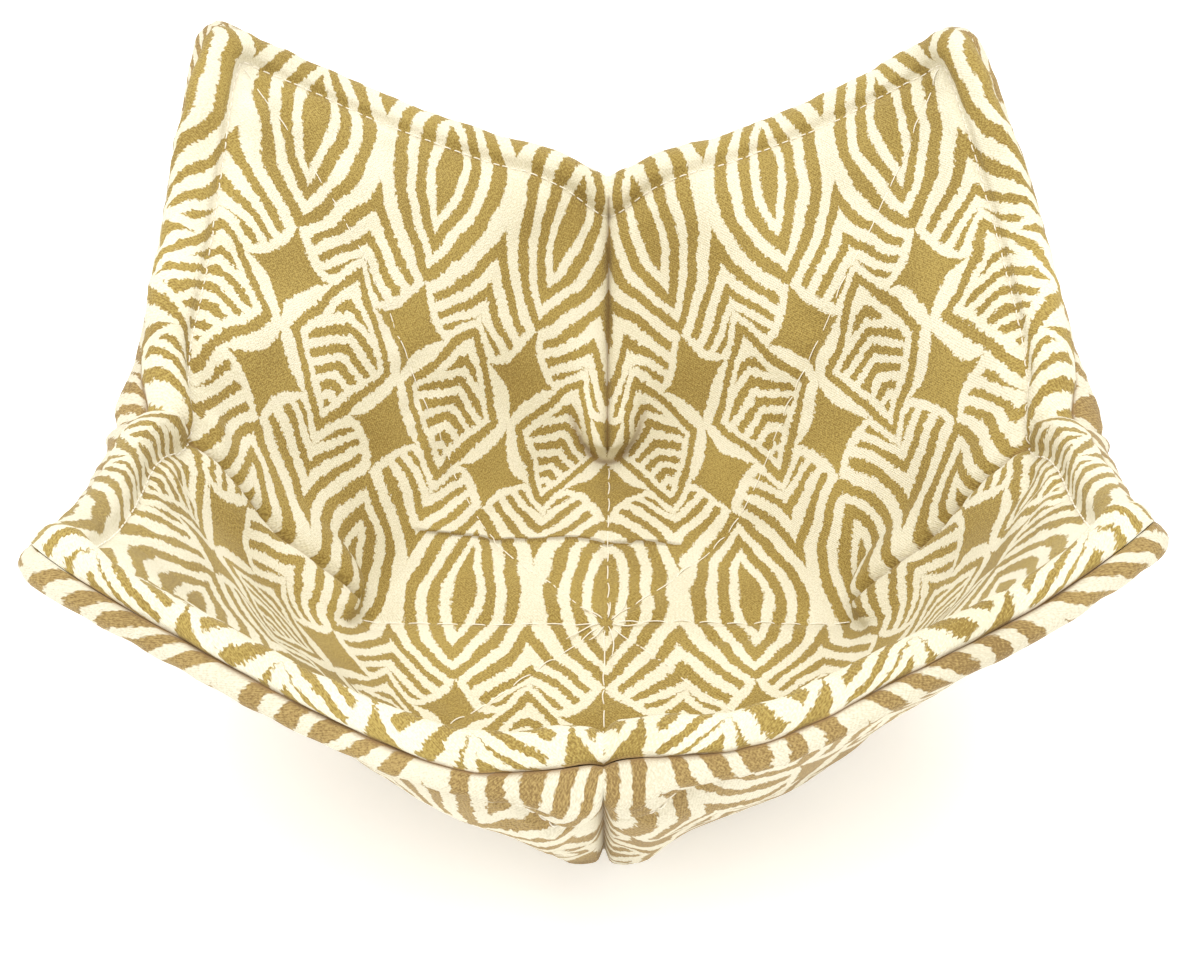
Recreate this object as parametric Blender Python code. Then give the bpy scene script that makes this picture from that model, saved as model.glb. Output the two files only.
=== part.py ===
"""Quilted microwave bowl cozy, resting on its underside.

A lining panel and an outer panel, each a square of cotton quilted to a square of
batting. A dart at the middle of each side lifts the square into a bowl with four
ears. The two panels are joined by a seam round the rim, turned, and topstitched.

Every layer is worked out from the same flat square. A point of the square lies at
(u, v) from its middle, and an offset moves it off the middle surface of the wall,
towards the outside where it is positive. The middle of the underside is the origin.
"""

import math

import bpy
import numpy as np

# Flat panels, in metres
CUT_SQUARE = 0.254
SEAM_ALLOWANCE = 0.00635
DART_REACH = 0.0607
DART_HALF_MOUTH = 0.0258

# Layers of the wall
FABRIC = 0.0007
BATTING = 0.0030
QUILTED_BATTING = 0.0019
QUILTING_WIDTH = 0.0055
DART_RIDGE = 0.0016
DART_RIDGE_WIDTH = 0.0075
LAYER_GAP = 0.0003

# Rim
RIM_BATTING = 0.0026
TOPSTITCHED_BATTING = 0.0014
TOPSTITCH_INSET = 0.0047
RIM_ROLL = 0.0035
RIM_EASE = 0.0110

# Bends of the middle surface
FLOOR_BEND_RADIUS = 0.015
EAR_BEND_RADIUS = 0.016

# How far the sewn darts round the bowl's four edges off, and the nose at each dart's tip
EDGE_EASE = 0.0025
NOSE_EASE = 0.0015
EASE_WIDTH = 0.0075
NOSE_LENGTH = 0.016

# Slope of each ear where it leaves the wall and at its tip, and how far its tip leans in
BACK_EAR_ROOT = math.radians(24)
BACK_EAR_TIP = math.radians(79)
FRONT_LEFT_EAR_ROOT = math.radians(14)
FRONT_LEFT_EAR_TIP = math.radians(61)
FRONT_RIGHT_EAR_ROOT = math.radians(21)
FRONT_RIGHT_EAR_TIP = math.radians(63)
BACK_LEFT_LEAN = 0.0080
BACK_RIGHT_LEAN = -0.0010
FRONT_LEFT_LEAN = 0.0060
FRONT_RIGHT_LEAN = 0.0042

# How far each quarter of the wall bulges out between its darts, from 0 to 1, where 1 is straight
# from its foot to the ear's tip, and how far from the centre that foot is
BACK_BULGE = 0.70
BACK_BULGE_FOOT = 0.045
FRONT_BULGE = 1.0
FRONT_BULGE_FOOT = 0.056
BULGE_BEND = 0.020
BULGE_FADE = 0.020

# How far the rim flops outwards and down beside the front dart, and how far from the dart it does so most
FRONT_LEFT_FLOP = 0.0040
FRONT_RIGHT_FLOP = 0.0014
FLOP_REACH = 0.026

# Mesh lines
FIRST_LINE = 0.005
SECOND_LINE = 0.012
FLOOR_CELLS = 4
WALL_CELLS = 3
ROLL_ANGLES = (45, 0, -45)

# Worked out from the sizes above
HALF = CUT_SQUARE / 2 - SEAM_ALLOWANCE
FLAP = HALF - DART_REACH
WALL_SLOPE = math.acos((FLAP - DART_HALF_MOUTH) / (FLAP + DART_HALF_MOUTH))
WALL_FOOT = DART_REACH / math.sqrt(2)
DART_TOP = (HALF + DART_HALF_MOUTH) / math.sqrt(2)
EAR_END = HALF * math.sqrt(2)
HALF_WALL = LAYER_GAP / 2 + BATTING + LAYER_GAP + FABRIC
TURNED_IN = LAYER_GAP / 2 + FABRIC + LAYER_GAP

CORNERS = (
    (1, 1, BACK_EAR_ROOT, BACK_EAR_TIP, BACK_RIGHT_LEAN, BACK_BULGE, BACK_BULGE_FOOT, 0),
    (-1, 1, BACK_EAR_ROOT, BACK_EAR_TIP, BACK_LEFT_LEAN, BACK_BULGE, BACK_BULGE_FOOT, 0),
    (-1, -1, FRONT_LEFT_EAR_ROOT, FRONT_LEFT_EAR_TIP, FRONT_LEFT_LEAN, FRONT_BULGE, FRONT_BULGE_FOOT,
     FRONT_LEFT_FLOP),
    (1, -1, FRONT_RIGHT_EAR_ROOT, FRONT_RIGHT_EAR_TIP, FRONT_RIGHT_LEAN, FRONT_BULGE, FRONT_BULGE_FOOT,
     FRONT_RIGHT_FLOP),
)


def clear_scene():
    for thing in list(bpy.data.objects):
        bpy.data.objects.remove(thing, do_unlink=True)


def material(name, color, roughness):
    """A plain cloth finish."""
    made = bpy.data.materials.new(name)
    made.use_nodes = True
    shader = made.node_tree.nodes["Principled BSDF"]
    shader.inputs["Base Color"].default_value = (*color, 1)
    shader.inputs["Roughness"].default_value = roughness
    shader.inputs["Metallic"].default_value = 0
    return made


def slope_along(distance, root, tip):
    """Slope of the middle surface, going out from the centre along an ear's diagonal."""
    floor_arc = FLOOR_BEND_RADIUS * WALL_SLOPE
    ear_arc = EAR_BEND_RADIUS * (WALL_SLOPE - root)
    curl_start = DART_TOP + ear_arc
    rise = np.clip((distance - WALL_FOOT) / floor_arc + 0.5, 0, 1)
    flare = np.clip((distance - DART_TOP) / ear_arc, 0, 1)
    curl = np.clip((distance - curl_start) / (EAR_END - curl_start), 0, None)
    return WALL_SLOPE * rise - (WALL_SLOPE - root) * flare + (tip - root) * curl


def section(root, tip):
    """Stations along an ear's diagonal, with the run, height and slope of the middle surface at each."""
    distance = np.linspace(0, EAR_END + 0.02, 900)
    slope = slope_along(distance, root, tip)
    step = np.diff(distance)
    run = np.concatenate([[0], np.cumsum(step * (np.cos(slope[1:]) + np.cos(slope[:-1])) / 2)])
    rise = np.concatenate([[0], np.cumsum(step * (np.sin(slope[1:]) + np.sin(slope[:-1])) / 2)])
    return distance, run, rise, slope


def bulged_section(distance, run, rise, foot):
    """Run, height and slope where a quarter bulges most: straight from its foot to the ear's tip."""
    tip_out = np.interp(EAR_END, distance, run)
    tip_up = np.interp(EAR_END, distance, rise)
    climb = math.atan2(tip_up, tip_out - foot)
    eased = math.hypot(tip_up, tip_out - foot) / (EAR_END - foot)
    share = np.clip((distance - foot + BULGE_BEND) / (2 * BULGE_BEND), 0, 1)
    past = np.where(share < 1, BULGE_BEND * share**2, distance - foot)
    slope = np.arctan2(share * eased * math.sin(climb), 1 - share + share * eased * math.cos(climb))
    return distance - past + past * eased * math.cos(climb), past * eased * math.sin(climb), slope


def dart_leg(distance):
    """Half of the width that a dart takes out of the panel, at a distance from the centre."""
    return np.maximum(distance - DART_REACH, 0) * DART_HALF_MOUTH / FLAP


def flat_point(s, t, edge):
    """The flat point for mesh lines s and t, spread over what the two darts leave of a quarter panel."""
    u = s + (1 - s / edge) * dart_leg(t)
    v = t + (1 - t / edge) * dart_leg(s)
    return u, v


def edge_ease(along_dart, from_leg):
    """How far a place near a sewn dart is drawn in towards the middle of the bowl."""
    past_tip = along_dart - DART_REACH
    ramp = np.clip((past_tip + EASE_WIDTH) / NOSE_LENGTH, 0, 1)
    ramp = ramp * ramp * (3 - 2 * ramp)
    nose = NOSE_EASE * np.exp(-(((past_tip - NOSE_LENGTH / 2) / NOSE_LENGTH) ** 2))
    return (EDGE_EASE + nose) * ramp * np.exp(-((from_leg / EASE_WIDTH) ** 2))


def rim_flop(along_dart, from_leg):
    """Share of the rim's flop: most at a set distance from the dart, and none at the dart itself."""
    up = np.clip((along_dart - DART_REACH) / FLAP, 0, 1)
    away = np.maximum(from_leg, 0) / FLOP_REACH
    return up * up * (3 - 2 * up) * away * np.exp((1 - away * away) / 2)


def folded(u, v, offset, corner):
    """Where a flat point lies once the darts are sewn, so that both legs of a dart meet."""
    sign_x, sign_y, root, tip, lean, bulge, foot, flop = corner
    distance, run, rise, slope = section(root, tip)
    along = (u + v) / math.sqrt(2)
    across = (v - u) / math.sqrt(2)
    below_top = np.minimum(along, DART_TOP)
    narrowing = (FLAP - DART_HALF_MOUTH) / (FLAP + DART_HALF_MOUTH)
    flat_half_width = np.minimum(below_top, WALL_FOOT + narrowing * (below_top - WALL_FOOT))
    to_edge = np.where(along > DART_TOP, EAR_END - along, flat_half_width)
    between = 1 - np.clip(np.abs(across) / np.maximum(to_edge, 1e-6), 0, 1) ** 2
    near_tip = np.clip((EAR_END - along) / BULGE_FADE, 0, 1)
    bulged = bulge * between * near_tip * near_tip * (3 - 2 * near_tip)
    straight = [np.interp(along, distance, values) for values in bulged_section(distance, run, rise, foot)]
    tilt = (1 - bulged) * np.interp(along, distance, slope) + bulged * straight[2]
    out = (1 - bulged) * np.interp(along, distance, run) + bulged * straight[0] + offset * np.sin(tilt)
    height = (1 - bulged) * np.interp(along, distance, rise) + bulged * straight[1]
    height = HALF_WALL + height - offset * np.cos(tilt)
    out_there = np.interp(below_top, distance, run)
    out_there = out_there + offset * np.sin(np.interp(below_top, distance, slope))
    spread = np.where(flat_half_width > 1e-6, out_there / np.maximum(flat_half_width, 1e-6), 1)
    sideways = across * spread
    lean_start = DART_TOP + EAR_BEND_RADIUS
    swing = np.clip((along - lean_start) / (EAR_END - lean_start), 0, None) ** 1.5
    flopped = flop * rim_flop(v, u - dart_leg(v))
    x = (out - sideways) / math.sqrt(2) + lean * swing - edge_ease(u, v - dart_leg(u))
    y = (out + sideways) / math.sqrt(2) - edge_ease(v, u - dart_leg(v)) + flopped
    return np.stack([sign_x * x, sign_y * y, height - flopped], axis=-1)


def batting_loft(u, v, on_dart, side):
    """Thickness of one batting away from the rim: less along the quilting, more beside the darts."""
    from_diagonal = np.abs(u - v) / math.sqrt(2)
    near, far = np.minimum(u, v), np.maximum(u, v)
    from_middle = np.where(far <= DART_REACH, near, HALF)
    from_leg = np.where(far > DART_REACH, near - dart_leg(far), np.hypot(near, far - DART_REACH))
    stitched = np.exp(-((from_diagonal / QUILTING_WIDTH) ** 2))
    stitched = np.maximum(stitched, np.exp(-((from_middle / QUILTING_WIDTH) ** 2)))
    ridge = np.exp(-(((from_leg - DART_RIDGE_WIDTH) / DART_RIDGE_WIDTH) ** 2))
    ridge = np.where(far > DART_REACH - DART_RIDGE_WIDTH, ridge, 0)
    stitched = np.where(on_dart, 0.6, stitched)
    ridge = np.where(on_dart, 0.2, ridge)
    loft = BATTING - (BATTING - QUILTED_BATTING) * stitched + DART_RIDGE * ridge
    if side > 0:
        lies_flat = np.clip((WALL_FOOT + FLOOR_BEND_RADIUS - (u + v) / math.sqrt(2)) / 0.012, 0, 1)
        loft = loft + (BATTING - loft) * lies_flat
    return loft


def mesh_lines():
    """Mesh lines from the centre of the panel to its sewn edge."""
    floor = np.linspace(SECOND_LINE, DART_REACH, FLOOR_CELLS + 1)
    wall = np.linspace(DART_REACH, HALF - RIM_EASE, WALL_CELLS + 1)[1:]
    return np.concatenate([[0, FIRST_LINE], floor, wall, [HALF - TOPSTITCH_INSET, HALF]])


def wall_layers(side):
    """Offsets of the two faces of one panel's batting, on the mesh lines of a quarter."""
    lines = mesh_lines()
    s, t = np.meshgrid(lines, lines, indexing="ij")
    u, v = flat_point(s, t, HALF)
    on_dart = (np.minimum(s, t) == 0) & (np.maximum(s, t) > DART_REACH * 0.999)
    row = np.maximum(s, t)
    at_rim = row > HALF - TOPSTITCH_INSET * 0.5
    at_topstitch = (row > HALF - TOPSTITCH_INSET * 1.5) & ~at_rim
    thickness = batting_loft(u, v, on_dart, side)
    thickness = np.where(at_topstitch, TOPSTITCHED_BATTING, thickness)
    thickness = np.where(at_rim, RIM_BATTING, thickness)
    inner = np.where(at_rim | at_topstitch, TURNED_IN, LAYER_GAP / 2)
    return inner, inner + thickness


def face_grid(offset):
    """Places of the four quarters' mesh points, at an offset given on the mesh lines."""
    lines = mesh_lines()
    s, t = np.meshgrid(lines, lines, indexing="ij")
    u, v = flat_point(s, t, HALF)
    quarters = []
    for corner in CORNERS:
        points = folded(u, v, offset, corner)
        points[0, :, 0] = 0
        points[:, 0, 1] = 0
        quarters.append(points)
    return quarters


def rim_loop(beyond, offset):
    """A loop along the whole rim, a distance beyond the sewn edge: two runs of places for each quarter."""
    lines = mesh_lines()
    edge = HALF + beyond
    s = lines * edge / HALF
    level = np.full_like(s, edge)
    quarters = []
    for corner in CORNERS:
        u, v = flat_point(s, level, edge)
        back = folded(u, v, offset, corner)
        back[0, 0] = 0
        u, v = flat_point(level, s, edge)
        flank = folded(u, v, offset, corner)
        flank[0, 1] = 0
        quarters.append((flank, back))
    return beyond, quarters


def loop_of_grid(quarters):
    """The outermost places of a face grid, as a rim loop."""
    return 0, [(points[-1, :], points[:, -1]) for points in quarters]


def topstitch_loop(offset):
    """A loop along the topstitching, whose last place in each run is the corner of the mesh line there."""
    quarters = []
    for points in face_grid(offset):
        flank, back = points[-2, :].copy(), points[:, -2].copy()
        flank[-1] = points[-2, -2]
        back[-1] = points[-2, -2]
        quarters.append((flank, back))
    return -TOPSTITCH_INSET, quarters


class Surface:
    """Points and faces of one closed surface. Points that coincide become one."""

    def __init__(self):
        self.points = []
        self.faces = []
        self.known = {}

    def point(self, place):
        key = tuple(np.round(np.asarray(place) * 1e7).astype(int))
        if key not in self.known:
            self.known[key] = len(self.points)
            self.points.append(tuple(float(value) for value in place))
        return self.known[key]

    def face(self, places, turned):
        corners = []
        for place in places:
            index = self.point(place)
            if index not in corners:
                corners.append(index)
        if len(corners) > 2:
            self.faces.append(corners[::-1] if turned else corners)

    def add_grid(self, quarters, facing_out):
        """Both triangles of each cell. Their shared edge runs along the quilting, or else along the bends."""
        lines = mesh_lines() * math.sqrt(2)
        bend = FLOOR_BEND_RADIUS * WALL_SLOPE / 2
        in_bend = (lines[1:] > WALL_FOOT - bend * 0.9) & (lines[:-1] < WALL_FOOT + bend * 0.9)
        for (sign_x, sign_y, *_), grid in zip(CORNERS, quarters):
            turned = (sign_x * sign_y > 0) == facing_out
            for i in range(len(grid) - 1):
                for j in range(len(grid) - 1):
                    low, right = grid[i, j], grid[i + 1, j]
                    top, left = grid[i + 1, j + 1], grid[i, j + 1]
                    if i == j and not in_bend[i]:
                        self.face((low, right, top), turned)
                        self.face((low, top, left), turned)
                    else:
                        self.face((low, right, left), turned)
                        self.face((right, top, left), turned)

    def add_band(self, first, second, facing_out):
        """The strip between two loops round the rim, with its triangles' shared edges along the bends."""
        outwards = second[0] >= first[0]
        for (sign_x, sign_y, *_), a, b in zip(CORNERS, first[1], second[1]):
            for run in (0, 1):
                turned = ((sign_x * sign_y > 0) == facing_out) == (run == 1)
                for i in range(len(a[run]) - 1):
                    here, there = a[run][i], a[run][i + 1]
                    above, beyond = b[run][i + 1], b[run][i]
                    if outwards:
                        self.face((here, there, beyond), turned)
                        self.face((there, above, beyond), turned)
                    else:
                        self.face((here, there, above), turned)
                        self.face((here, above, beyond), turned)

    def to_object(self, name, look):
        mesh = bpy.data.meshes.new(name)
        mesh.from_pydata(self.points, [], self.faces)
        mesh.shade_smooth()
        mesh.materials.append(look)
        made = bpy.data.objects.new(name, mesh)
        bpy.context.scene.collection.objects.link(made)
        return made


def closed_surface(front, loops, back, side):
    """A face grid, the loops that lead from its edge to the edge of the second grid, and that grid."""
    surface = Surface()
    surface.add_grid(front, side > 0)
    surface.add_grid(back, side < 0)
    chain = [loop_of_grid(front), *loops, loop_of_grid(back)]
    for first, second in zip(chain, chain[1:]):
        surface.add_band(first, second, side > 0)
    return surface


def roll_point(angle, inset):
    """Distance beyond the sewn edge and offset, on the rim's roll of one panel, at a depth under its face."""
    outermost = TURNED_IN + RIM_BATTING + LAYER_GAP + FABRIC
    middle = (outermost + LAYER_GAP / 2) / 2
    half_height = (outermost - LAYER_GAP / 2) / 2 - inset
    turn = math.radians(angle)
    return (RIM_ROLL - inset) * math.cos(turn), middle + half_height * math.sin(turn)


def roll_loops(inset, side):
    """Loops round the rim's roll, from the face of the panel towards the seam."""
    loops = []
    for angle in ROLL_ANGLES:
        beyond, offset = roll_point(angle, inset)
        loops.append(rim_loop(beyond, side * offset))
    return loops


def make_batting(name, side, look):
    """One panel's batting, cut to end inside the turned edge of its cotton."""
    inner, outer = wall_layers(side)
    loops = roll_loops(FABRIC + LAYER_GAP, side)
    surface = closed_surface(face_grid(side * outer), loops, face_grid(side * inner), side)
    return surface.to_object(name, look)


def make_panel(name, side, look):
    """One cotton panel. Its edge rolls over the batting to the seam and turns in between the two battings."""
    _, under = wall_layers(side)
    under = under + LAYER_GAP
    near, far = LAYER_GAP / 2, LAYER_GAP / 2 + FABRIC
    loops = roll_loops(0, side)
    loops.append(rim_loop(0, side * near))
    loops.append(topstitch_loop(side * near))
    loops.append(topstitch_loop(side * far))
    loops.append(rim_loop(0, side * far))
    loops.extend(reversed(roll_loops(FABRIC, side)))
    surface = closed_surface(face_grid(side * (under + FABRIC)), loops, face_grid(side * under), side)
    return surface.to_object(name, look)


def main():
    clear_scene()
    print_cloth = material("khaki_print_cotton", (0.62, 0.52, 0.27), 0.9)
    outer_cloth = material("khaki_print_cotton_outer", (0.58, 0.48, 0.25), 0.9)
    wadding = material("cotton_batting", (0.88, 0.86, 0.80), 1.0)
    make_panel("lining_panel", -1, print_cloth)
    make_batting("lining_batting", -1, wadding)
    make_batting("outer_batting", 1, wadding)
    make_panel("outer_panel", 1, outer_cloth)


main()
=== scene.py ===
"""Looks of the quilted microwave bowl cozy: printed cotton, its wadding, stitching, light and camera.

Each cloth is made from the same flat square as its CAD node, with a finer mesh, and so
carries its print, its darts and its quilting where the flat cloth has them.
"""

import math

import bpy
import numpy as np
from mathutils import Matrix, Vector


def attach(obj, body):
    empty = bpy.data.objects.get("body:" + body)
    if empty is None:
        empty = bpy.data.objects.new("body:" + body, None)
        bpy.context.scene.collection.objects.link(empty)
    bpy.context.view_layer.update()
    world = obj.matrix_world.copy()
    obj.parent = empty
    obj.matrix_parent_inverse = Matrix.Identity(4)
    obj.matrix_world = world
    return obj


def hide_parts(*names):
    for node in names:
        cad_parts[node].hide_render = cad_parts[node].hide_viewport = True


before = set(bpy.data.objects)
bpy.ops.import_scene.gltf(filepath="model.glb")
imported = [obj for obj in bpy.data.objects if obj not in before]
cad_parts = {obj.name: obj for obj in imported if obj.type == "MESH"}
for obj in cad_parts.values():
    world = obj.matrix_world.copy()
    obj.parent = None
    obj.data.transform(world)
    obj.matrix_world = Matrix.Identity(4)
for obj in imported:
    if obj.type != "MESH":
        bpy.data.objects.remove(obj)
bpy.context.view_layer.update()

# Flat panels and layers, in metres, as in the CAD
CUT_SQUARE = 0.254
SEAM_ALLOWANCE = 0.00635
DART_REACH = 0.0607
DART_HALF_MOUTH = 0.0258
FABRIC = 0.0007
BATTING = 0.0030
LAYER_GAP = 0.0003
TOPSTITCH_INSET = 0.0047
RIM_ROLL = 0.0035
FLOOR_BEND_RADIUS = 0.015
EAR_BEND_RADIUS = 0.016
EDGE_EASE = 0.0025
NOSE_EASE = 0.0015
EASE_WIDTH = 0.0075
NOSE_LENGTH = 0.016

HALF = CUT_SQUARE / 2 - SEAM_ALLOWANCE
FLAP = HALF - DART_REACH
WALL_SLOPE = math.acos((FLAP - DART_HALF_MOUTH) / (FLAP + DART_HALF_MOUTH))
WALL_FOOT = DART_REACH / math.sqrt(2)
DART_TOP = (HALF + DART_HALF_MOUTH) / math.sqrt(2)
EAR_END = HALF * math.sqrt(2)
HALF_WALL = LAYER_GAP / 2 + BATTING + LAYER_GAP + FABRIC
TURNED_IN = LAYER_GAP / 2 + FABRIC + LAYER_GAP
EAR_ROUNDING = 0.0060
EAR_SQUARENESS = 2.8
LEAN_GROWTH = 1.5
BULGE_BEND = 0.020
BULGE_FADE = 0.020
FLOP_REACH = 0.026
SECTION_PAST_TIP = 0.03
SECTION_STEPS = 1400

# The side of the wall's middle surface that a cloth or batting lies on
LINING, OUTER = -1, 1

# Sign of x, sign of y, slope at the ear's root and tip, lean of the tip, bulge of the quarter, its foot,
# and how far its rim flops out beside the front dart
CORNERS = (
    (1, 1, math.radians(24), math.radians(79), -0.0010, 0.70, 0.045, 0),
    (-1, 1, math.radians(24), math.radians(79), 0.0080, 0.70, 0.045, 0),
    (-1, -1, math.radians(14), math.radians(61), 0.0060, 1.0, 0.056, 0.0040),
    (1, -1, math.radians(21), math.radians(63), 0.0042, 1.0, 0.056, 0.0014),
)


def smooth(value):
    """A soft step from 0 to 1."""
    value = np.clip(value, 0, 1)
    return value * value * (3 - 2 * value)


def bell(value, width):
    """1 at 0, fading out over the width."""
    return np.exp(-((value / width) ** 2))


def undulation(x, y, seed, length, count=9):
    """A smooth random height, about -1 to 1, with swells of the given length."""
    random = np.random.default_rng(seed)
    total = 0
    for _ in range(count):
        turn = random.uniform(0, 2 * math.pi)
        pace = 2 * math.pi / (length * random.uniform(0.7, 1.5))
        start = random.uniform(0, 2 * math.pi)
        total = total + np.sin(pace * (x * math.cos(turn) + y * math.sin(turn)) + start)
    return total / math.sqrt(2 * count)


def section(root, tip):
    """Distance along an ear's diagonal, and the run, rise and slope of the middle surface there."""
    distance = np.linspace(0, EAR_END + SECTION_PAST_TIP, SECTION_STEPS)
    floor_arc = FLOOR_BEND_RADIUS * WALL_SLOPE
    ear_arc = EAR_BEND_RADIUS * (WALL_SLOPE - root)
    curl_start = DART_TOP + ear_arc
    rise = np.clip((distance - WALL_FOOT) / floor_arc + 0.5, 0, 1)
    flare = np.clip((distance - DART_TOP) / ear_arc, 0, 1)
    curl = np.clip((distance - curl_start) / (EAR_END - curl_start), 0, None)
    slope = WALL_SLOPE * rise - (WALL_SLOPE - root) * flare + (tip - root) * curl
    step = np.diff(distance)
    run = np.concatenate([[0], np.cumsum(step * (np.cos(slope[1:]) + np.cos(slope[:-1])) / 2)])
    lift = np.concatenate([[0], np.cumsum(step * (np.sin(slope[1:]) + np.sin(slope[:-1])) / 2)])
    return distance, run, lift, slope


def bulged_section(distance, run, rise, foot):
    """The same where a quarter bulges most: straight from its foot to the ear's tip."""
    tip_out = np.interp(EAR_END, distance, run)
    tip_up = np.interp(EAR_END, distance, rise)
    climb = math.atan2(tip_up, tip_out - foot)
    eased = math.hypot(tip_up, tip_out - foot) / (EAR_END - foot)
    share = np.clip((distance - foot + BULGE_BEND) / (2 * BULGE_BEND), 0, 1)
    past = np.where(share < 1, BULGE_BEND * share**2, distance - foot)
    slope = np.arctan2(share * eased * math.sin(climb), 1 - share + share * eased * math.cos(climb))
    return distance - past + past * eased * math.cos(climb), past * eased * math.sin(climb), slope


SECTIONS = {corner[:2]: section(corner[2], corner[3]) for corner in CORNERS}
BULGED = {corner[:2]: bulged_section(*SECTIONS[corner[:2]][:3], corner[6]) for corner in CORNERS}


def dart_leg(distance):
    return np.maximum(distance - DART_REACH, 0) * DART_HALF_MOUTH / FLAP


def flat_point(s, t, edge):
    """The flat point for mesh lines s and t, spread over what two darts leave of a quarter panel."""
    u = s + (1 - s / edge) * dart_leg(t)
    v = t + (1 - t / edge) * dart_leg(s)
    return u, v


def rounded(u, v):
    """The ear's corner as it turns: rounder than the cut square."""
    start = HALF - EAR_ROUNDING
    a = np.clip(u - start, 0, None)
    b = np.clip(v - start, 0, None)
    length = (a**EAR_SQUARENESS + b**EAR_SQUARENESS) ** (1 / EAR_SQUARENESS)
    share = np.where(length > 0, np.maximum(a, b) / np.maximum(length, 1e-9), 1)
    both = (a > 0) & (b > 0)
    return np.where(both, start + a * share, u), np.where(both, start + b * share, v)


def edge_ease(along_dart, from_leg):
    past_tip = along_dart - DART_REACH
    ramp = smooth((past_tip + EASE_WIDTH) / NOSE_LENGTH)
    nose = NOSE_EASE * bell(past_tip - NOSE_LENGTH / 2, NOSE_LENGTH)
    return (EDGE_EASE + nose) * ramp * bell(from_leg, EASE_WIDTH)


def rim_flop(along_dart, from_leg):
    up = smooth((along_dart - DART_REACH) / FLAP)
    away = np.maximum(from_leg, 0) / FLOP_REACH
    return up * away * np.exp((1 - away * away) / 2)


def folded(u, v, offset, corner):
    """Where a flat point lies once the darts are sewn."""
    sign_x, sign_y, _, _, lean, bulge, _, flop = corner
    distance, run, lift, slope = SECTIONS[corner[:2]]
    u, v = rounded(u, v)
    along = (u + v) / math.sqrt(2)
    across = (v - u) / math.sqrt(2)
    below_top = np.minimum(along, DART_TOP)
    narrowing = (FLAP - DART_HALF_MOUTH) / (FLAP + DART_HALF_MOUTH)
    flat_half_width = np.minimum(below_top, WALL_FOOT + narrowing * (below_top - WALL_FOOT))
    to_edge = np.where(along > DART_TOP, EAR_END - along, flat_half_width)
    between = 1 - np.clip(np.abs(across) / np.maximum(to_edge, 1e-6), 0, 1) ** 2
    bulged = bulge * between * smooth((EAR_END - along) / BULGE_FADE)
    plain = [np.interp(along, distance, values) for values in (run, lift, slope)]
    straight = [np.interp(along, distance, values) for values in BULGED[corner[:2]]]
    out, height, tilt = [(1 - bulged) * a + bulged * b for a, b in zip(plain, straight)]
    out = out + offset * np.sin(tilt)
    height = HALF_WALL + height - offset * np.cos(tilt)
    out_there = np.interp(below_top, distance, run)
    out_there = out_there + offset * np.sin(np.interp(below_top, distance, slope))
    spread = np.where(flat_half_width > 1e-6, out_there / np.maximum(flat_half_width, 1e-6), 1)
    sideways = across * spread
    lean_start = DART_TOP + EAR_BEND_RADIUS
    swing = np.clip((along - lean_start) / (EAR_END - lean_start), 0, None) ** LEAN_GROWTH
    flopped = flop * rim_flop(v, u - dart_leg(v))
    x = (out - sideways) / math.sqrt(2) + lean * swing - edge_ease(u, v - dart_leg(u))
    y = (out + sideways) / math.sqrt(2) - edge_ease(v, u - dart_leg(v)) + flopped
    return np.stack([sign_x * x, sign_y * y, height - flopped], axis=-1)


# Where mesh lines lie closer together: place, how much closer, width of the stretch
CLOSER_LINES = (
    (0, 1.6, 0.006),
    (DART_REACH, 1.4, 0.006),
    (HALF, 1.8, 0.009),
    (0.0265, 1.6, 0.003),
)


def mesh_lines(count):
    """Lines from the panel's centre to its sewn edge, closer at the seams, the dart's tip and the rim."""
    x = np.linspace(0, HALF, 4000)
    density = 1
    for place, closer, width in CLOSER_LINES:
        density = density + closer * bell(x - place, width)
    total = np.concatenate([[0], np.cumsum((density[1:] + density[:-1]) / 2)])
    lines = np.interp(np.linspace(0, total[-1], count + 1), total, x)
    nearest = np.argmin(np.abs(lines - DART_REACH))
    lines[nearest] = DART_REACH
    return lines


# Relief of the cloth

# How far quilting lines stray and the length of their swings, the tuck across the lining's floor,
# the pillows beside a dart and the puffed nose at its tip
QUILTING_STRAY = 0.0011
QUILTING_SWING = 0.055
TUCK_LEFT = -0.054
TUCK_RIGHT = 0.022
TUCK_FADE = 0.010
TUCK_Y = 0.0262
TUCK_BOW = 0.0012
TUCK_MIDDLE = -0.017
TUCK_WAVE = 0.068
TUCK_JUMP = 0.0046
PILLOW_HALF_WIDTH = 0.0075
NOSE_HALF_WIDTH = 0.0125
NOSE_TOP = 0.0120
NOSE_DROP = 0.0014

# Heights and depths that differ between the lining and the outer panel
PILLOW_HEIGHT = {LINING: 0.0013, OUTER: 0.0024}
DART_DEPTH = {LINING: 0.0011, OUTER: 0.0016}
NOSE_HEIGHT = {LINING: 0.0040, OUTER: 0.0010}
NOSE_CREASE = {LINING: 0.0006, OUTER: 0.0003}
TIP_SWELL = {LINING: 0.0016, OUTER: 0.0006}


def wander_seed(corner):
    return 31 + 2 * corner[0] + corner[1]


def wander(distance, seed):
    """How far a line of quilting strays from straight."""
    swing = undulation(distance, distance * 0, seed, QUILTING_SWING, 5)
    return QUILTING_STRAY * swing * smooth((distance - 0.03) / 0.03)


def tuck_line(x):
    return TUCK_Y + TUCK_BOW * np.cos(math.pi * (x - TUCK_MIDDLE) / TUCK_WAVE)


def tuck_reach(x):
    """1 along the tuck in the lining's floor, 0 past its ends."""
    return smooth((x - TUCK_LEFT) / TUCK_FADE) * smooth((TUCK_RIGHT - x) / TUCK_FADE)


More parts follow.
